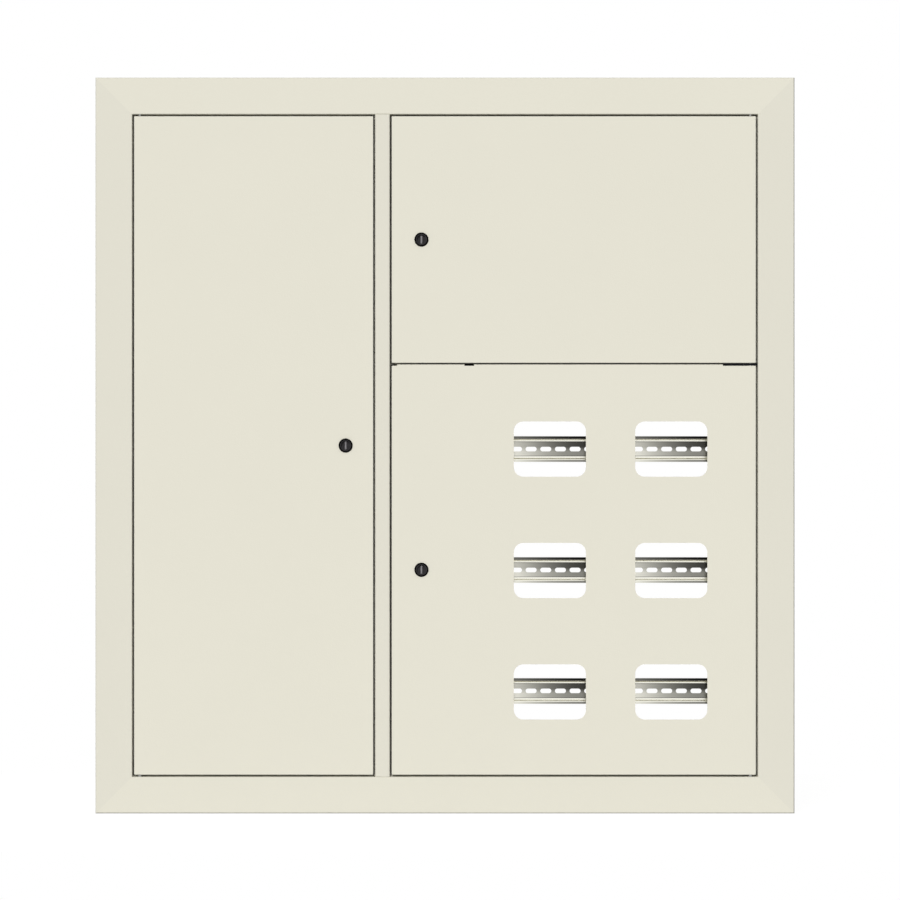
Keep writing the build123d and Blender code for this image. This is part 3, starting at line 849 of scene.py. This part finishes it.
class BOARD_OT_key_bars(bpy.types.Operator):
    """Set the rounded bars that the key drives into the plugs' sockets"""
    bl_idname = "board.key_bars"
    bl_label = "Key Bars"

    def execute(self, context):
        lock = context.scene.board_locks
        centre = middle_of("left_lock_body")
        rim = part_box("left_lock_body")[0].y
        half_width, half_length = lock.bar_width / 2, lock.bar_length / 2
        bar = block((centre.x - half_width, rim + lock.bar_sink, centre.z - half_length),
                    (centre.x + half_width, rim + lock.socket, centre.z + half_length))
        bar = smooth(rounded(bar, lock.bar_round, BAR_STEPS))
        spread_locks(bar, "key_bar", "latch", "plug_metal", "key_bar", None)
        return {"FINISHED"}


class BOARD_OT_lock_nuts(bpy.types.Operator):
    """Cut the hexagon nuts that hold the lock housings, and the cams' hexagon screws"""
    bl_idname = "board.lock_nuts"
    bl_label = "Lock Nuts"

    def execute(self, context):
        lock = context.scene.board_locks
        centre = middle_of("left_lock_body")
        low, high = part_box("left_lock_nut")
        nut = hexagon(lock.nut, low.y, high.y, "Y", centre, lock.points)
        nut = smooth(bored(nut, lock.barrel, low.y, high.y, "Y", centre, lock.points))
        spread_locks(nut, "hexagon_nut", "leaf", "zinc_plate", "zinc_plate", "lock_nut")
        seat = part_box("left_lock_cam")[1].y
        screw = hexagon(lock.cam_screw, seat, seat + lock.cam_screw_head, "Y", centre, lock.points)
        spread_locks(smooth(screw), "cam_bolt", "latch", "zinc_plate", "zinc_plate", "cam_screw")
        return {"FINISHED"}


class BOARD_OT_clamp_screws(bpy.types.Operator):
    """Set a row of slotted clamp screws on the neutral and earth bars"""
    bl_idname = "board.clamp_screws"
    bl_label = "Clamp Screws"

    def execute(self, context):
        fit = context.scene.board_fittings
        low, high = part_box("neutral_bar")
        seat, middle = high.x, (low + high) / 2
        top = seat + fit.clamp_height
        first = middle.z - fit.clamp_pitch * (fit.clamp_count - 1) / 2
        centre = Vector((seat, middle.y, first))
        edge, third = fit.clamp_edge, fit.clamp_edge / 3
        profile = [(seat, fit.clamp_radius), (top - edge, fit.clamp_radius),
                   (top - third, fit.clamp_radius - third), (top, fit.clamp_radius - edge)]
        screw = turned(profile, "X", centre, fit.points)
        reach = 2 * fit.clamp_radius
        half = fit.clamp_slot / 2
        slot = block((top - fit.clamp_height / 2, middle.y - reach, first - half),
                     (top + reach, middle.y + reach, first + half))
        screw = carved(screw, slot, "DIFFERENCE")
        ends = (low.z + fit.end_distance - first, high.z - fit.end_distance - first)
        heights = [fit.clamp_pitch * place for place in range(1, fit.clamp_count)] + list(ends)
        row = smooth(joined([screw] + [copied(screw, (0, 0, height)) for height in heights]))
        earth = copied(row, (0, middle_of("earth_bar").y - middle.y, 0))
        hand_over(row, "neutral_clamp_screws", "cabinet", "bright_steel", "bright_steel")
        hand_over(earth, "earth_clamp_screws", "cabinet", "bright_steel", "bright_steel")
        return {"FINISHED"}


class BOARD_OT_bar_posts(bpy.types.Operator):
    """Turn the ribbed insulating posts that carry the bars"""
    bl_idname = "board.bar_posts"
    bl_label = "Bar Posts"

    def execute(self, context):
        fit = context.scene.board_fittings
        low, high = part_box("bar_posts")
        bar_low, bar_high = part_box("neutral_bar")
        first = Vector((low.x, (bar_low.y + bar_high.y) / 2, bar_low.z + fit.end_distance))
        step = (high.x - low.x) / (2 * fit.post_ribs + 1)
        ease = RIB_EDGE * step
        inner = fit.post_radius - ease
        profile = []
        for rib in range(fit.post_ribs + 1):
            start = low.x + 2 * rib * step
            end = start + step
            profile += [(start, inner), (start + ease, fit.post_radius)]
            profile += [(end - ease, fit.post_radius), (end, inner)]
            if rib < fit.post_ribs:
                profile += [(end + ease, fit.post_waist), (end + step - ease, fit.post_waist)]
        post = turned(profile, "X", first, fit.points)
        along = (bar_high.z - bar_low.z) - 2 * fit.end_distance
        across = middle_of("earth_bar").y - first.y
        others = [copied(post, move) for move in ((0, 0, along), (0, across, 0), (0, across, along))]
        posts = smooth(joined([post] + others))
        hand_over(posts, "ribbed_posts", "cabinet", "post_plastic", "post_plastic", "bar_posts")
        return {"FINISHED"}


class BOARD_OT_earth_stud(bpy.types.Operator):
    """Thread the earth stud and cut its nut"""
    bl_idname = "board.earth_stud"
    bl_label = "Earth Stud"

    def execute(self, context):
        fit = context.scene.board_fittings
        low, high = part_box("earth_stud")
        centre = (low + high) / 2
        neck = low.z + fit.stud_pitch
        tip = high.z - fit.stud_thread
        profile = [(low.z, TINY_RING), (low.z, fit.stud), (neck, fit.stud)]
        profile += thread(neck, tip, fit.stud, fit.stud_thread, fit.stud_pitch)[1:]
        profile += [(high.z, fit.stud - fit.stud_thread), (high.z, TINY_RING)]
        stud = smooth(turned(profile, "Z", centre, fit.points))
        hand_over(stud, "threaded_earth_stud", "cabinet", "zinc_plate", "bright_steel", "earth_stud")
        low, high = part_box("earth_nut")
        nut = hexagon(fit.earth_nut, low.z, high.z, "Z", centre, fit.points)
        nut = smooth(bored(nut, fit.stud, low.z, high.z, "Z", centre, fit.points))
        hand_over(nut, "earth_hexagon_nut", "cabinet", "zinc_plate", "zinc_plate", "earth_nut")
        return {"FINISHED"}


class BOARD_OT_door_seals(bpy.types.Operator):
    """Lay the round-faced rubber seals along the post"""
    bl_idname = "board.door_seals"
    bl_label = "Door Seals"

    def execute(self, context):
        fit = context.scene.board_fittings
        low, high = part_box("door_seals")
        post_low, post_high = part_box("mullion")
        left_end = post_low.x + fit.stop_width - fit.seal_setback
        right_start = post_high.x - fit.stop_width + fit.seal_setback
        starts = {"left": left_end - fit.seal_width, "upper": right_start, "lower": right_start}
        strips = []
        for door in DOORS:
            door_low, door_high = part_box(door + "_door")
            strip = block((starts[door], low.y, door_low.z),
                          (starts[door] + fit.seal_width, high.y, door_high.z))
            bpy.ops.object.mode_set(mode="EDIT")
            bpy.ops.mesh.select_mode(type="EDGE")
            bpy.ops.mesh.select_all(action="DESELECT")
            bpy.ops.object.mode_set(mode="OBJECT")
            for edge in strip.data.edges:
                ends = [strip.data.vertices[index].co for index in edge.vertices]
                upright = abs(ends[0].z - ends[1].z) > fit.seal_width
                edge.select = upright and max(end.y for end in ends) < (low.y + high.y) / 2
            bpy.ops.object.mode_set(mode="EDIT")
            bpy.ops.mesh.bevel(offset=fit.seal_round, segments=SEAL_STEPS)
            bpy.ops.mesh.select_mode(type="VERT")
            bpy.ops.object.mode_set(mode="OBJECT")
            strips.append(strip)
        seals = smooth(joined(strips))
        hand_over(seals, "round_faced_seals", "cabinet", "seal_rubber", "seal_rubber", "door_seals")
        return {"FINISHED"}


class BOARD_OT_weld_spots(bpy.types.Operator):
    """Mark the welds that join the box to the trim and the rails to their uprights"""
    bl_idname = "board.weld_spots"
    bl_label = "Weld Spots"

    def execute(self, context):
        fit = context.scene.board_fittings
        spots = self.frame_spots(fit)
        hand_over(spots, "frame_weld_spots", "cabinet", "cream_paint", "cream_paint")
        spots = self.rail_spots(fit)
        hand_over(spots, "rail_weld_spots", "cabinet", "zinc_plate", "zinc_plate")
        return {"FINISHED"}

    def frame_spots(self, fit):
        """Spots on the backs of the box's front flanges, which lie one sheet deep on the trim."""
        trim_low, trim_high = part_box("top_trim")
        post = middle_of("mullion").x
        sheet = 2 * (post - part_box("divider")[0].x)
        line_z = trim_low.z + fit.stop_width / 2
        line_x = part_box("right_trim")[0].x + fit.stop_width / 2
        across = int(line_x / fit.spot_pitch)
        upward = int(line_z / fit.spot_pitch)
        places = []
        for step in range(-across, across + 1):
            x = step * fit.spot_pitch
            if abs(x - post) > fit.spot_gap:
                places += [(x, line_z), (x, -line_z)]
        for step in range(-upward, upward + 1):
            places += [(line_x, step * fit.spot_pitch), (-line_x, step * fit.spot_pitch)]
        return self.at_places(fit, places, trim_high.y + sheet, 1)

    def rail_spots(self, fit):
        """Pairs of spots on the rails' webs where uprights lie behind them."""
        names = sorted(frame["nodes"])
        rails = [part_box(node) for node in names if node.startswith("din_rail")]
        uprights = [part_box(node) for node in names if node.startswith("rail_upright")]
        places = []
        for rail_low, rail_high in rails:
            z = (rail_low.z + rail_high.z) / 2
            for up_low, up_high in uprights:
                start, end = max(rail_low.x, up_low.x), min(rail_high.x, up_high.x)
                if end - start > 2 * fit.spot_radius:
                    x = (start + end) / 2
                    places += [(x, z - fit.spot_lift), (x, z + fit.spot_lift)]
        back = rails[0][1].y
        return self.at_places(fit, places, back - fit.rail_sheet, -1)

    def at_places(self, fit, places, face, out):
        """Domes at these places on a face, all in one piece."""
        first_x, first_z = places[0]
        profile = [(face + out * rise * fit.spot_height, share * fit.spot_radius) for rise, share in DOME]
        profile.append((face + out * fit.spot_height, TINY_RING))
        spot = turned(profile, "Y", Vector((first_x, face, first_z)), fit.points)
        others = [copied(spot, (x - first_x, 0, z - first_z)) for x, z in places[1:]]
        return smooth(joined([spot] + others), DOME_ANGLE)


class BOARD_OT_stage(bpy.types.Operator):
    """Set up the floor, the even white surroundings, the two soft lights and the camera"""
    bl_idname = "board.stage"
    bl_label = "Stage"

    def execute(self, context):
        stage = context.scene.board_stage
        context.scene.view_settings.view_transform = "Standard"
        self.surroundings(context.scene, stage)
        self.floor(stage)
        key_way = Vector((stage.key_left, 1.0, -stage.key_above))
        self.lamp("soft_key_light", key_way, stage.key, stage.key_spread)
        self.lamp("soft_back_light", Vector((0.0, -1.0, 0.0)), stage.back, stage.back_spread)
        self.camera(context.scene, stage)
        return {"FINISHED"}

    def seen(self, tree):
        """1 for rays that show the surroundings, 0 for those that only light things."""
        path = "ShaderNodeLightPath"
        rays = tree.node(path, output="Is Camera Ray") + tree.node(path, output="Is Glossy Ray")
        rays = rays + tree.node(path, output="Is Transmission Ray")
        return rays > 0.5

    def surroundings(self, scene, stage):
        world = bpy.data.worlds.new("white_surroundings")
        scene.world = world
        tree = Tree(world)
        level = tree.blended(self.seen(tree), stage.sky, 1.0)
        light = tree.node("ShaderNodeBackground", {}, {"Color": opaque(WHITE), "Strength": level})
        tree.node("ShaderNodeOutputWorld", {}, {"Surface": light})

    def floor(self, stage):
        start_fresh()
        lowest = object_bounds()[0].z
        bpy.ops.mesh.primitive_plane_add(size=stage.floor_size, location=(0, 0, lowest))
        bpy.ops.object.transform_apply(location=True, rotation=True, scale=True)
        ground = bpy.context.object
        ground.name = "pale_floor"
        material = bpy.data.materials.new("pale_floor")
        tree = Tree(material)
        given_back = stage.floor_tone * (stage.sky + stage.key * stage.key_above / math.pi)
        level = tree.blended(self.seen(tree), stage.sky - given_back, stage.floor_white - given_back)
        glow = tree.node("ShaderNodeEmission", {}, {"Strength": level})
        tone = opaque(lighter(WHITE, stage.floor_tone))
        matt = tree.node("ShaderNodeBsdfDiffuse", {}, {"Color": tone})
        both = tree.node("ShaderNodeAddShader", {}, {0: glow, 1: matt})
        tree.node("ShaderNodeOutputMaterial", {}, {"Surface": both})
        ground.data.materials.append(material)
        ground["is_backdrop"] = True

    def lamp(self, name, way, level, spread):
        """A far soft light that shines along a way and doesn't show in metal."""
        start_fresh()
        bpy.ops.object.light_add(type="SUN")
        light = bpy.context.object
        light.name = name
        light.rotation_euler = way.to_track_quat("-Z", "Y").to_euler()
        light.data.energy = level
        light.data.angle = spread
        light.visible_glossy = False

    def camera(self, scene, stage):
        start_fresh()
        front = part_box("left_door")[0].y
        bpy.ops.object.camera_add(location=(stage.shift_x, front - stage.distance, stage.shift_z),
                                  rotation=(math.pi / 2, 0, 0))
        scene.camera = bpy.context.object
        lens = scene.camera.data
        lens.lens = lens.sensor_width * stage.distance / stage.view_width
        lens.clip_end = FAR_LIMIT * stage.distance


class BOARD_PT_panel(bpy.types.Panel):
    """The board's groups of pieces"""
    bl_idname = "BOARD_PT_panel"
    bl_label = "Distribution Board"
    bl_space_type = "VIEW_3D"
    bl_region_type = "UI"
    bl_category = "Board"

    def draw(self, context):
        for operator in OPERATORS:
            self.layout.operator(operator.bl_idname)


SETTINGS = {
    "board_finishes": FinishSettings,
    "board_rails": RailSettings,
    "board_locks": LockSettings,
    "board_fittings": FittingSettings,
    "board_stage": StageSettings,
}
OPERATORS = (
    BOARD_OT_finishes,
    BOARD_OT_lock_housings,
    BOARD_OT_lock_plugs,
    BOARD_OT_key_bars,
    BOARD_OT_lock_nuts,
    BOARD_OT_clamp_screws,
    BOARD_OT_bar_posts,
    BOARD_OT_earth_stud,
    BOARD_OT_door_seals,
    BOARD_OT_weld_spots,
    BOARD_OT_stage,
)
CLASSES = (*SETTINGS.values(), *OPERATORS, BOARD_PT_panel)


def register():
    for each in CLASSES:
        bpy.utils.register_class(each)
    for name, group in SETTINGS.items():
        setattr(bpy.types.Scene, name, PointerProperty(type=group))


def unregister():
    for name in SETTINGS:
        delattr(bpy.types.Scene, name)
    for each in reversed(CLASSES):
        bpy.utils.unregister_class(each)


def main():
    register()
    for operator in OPERATORS:
        group, step = operator.bl_idname.split(".")
        getattr(getattr(bpy.ops, group), step)()


if __name__ == "__main__":
    main()
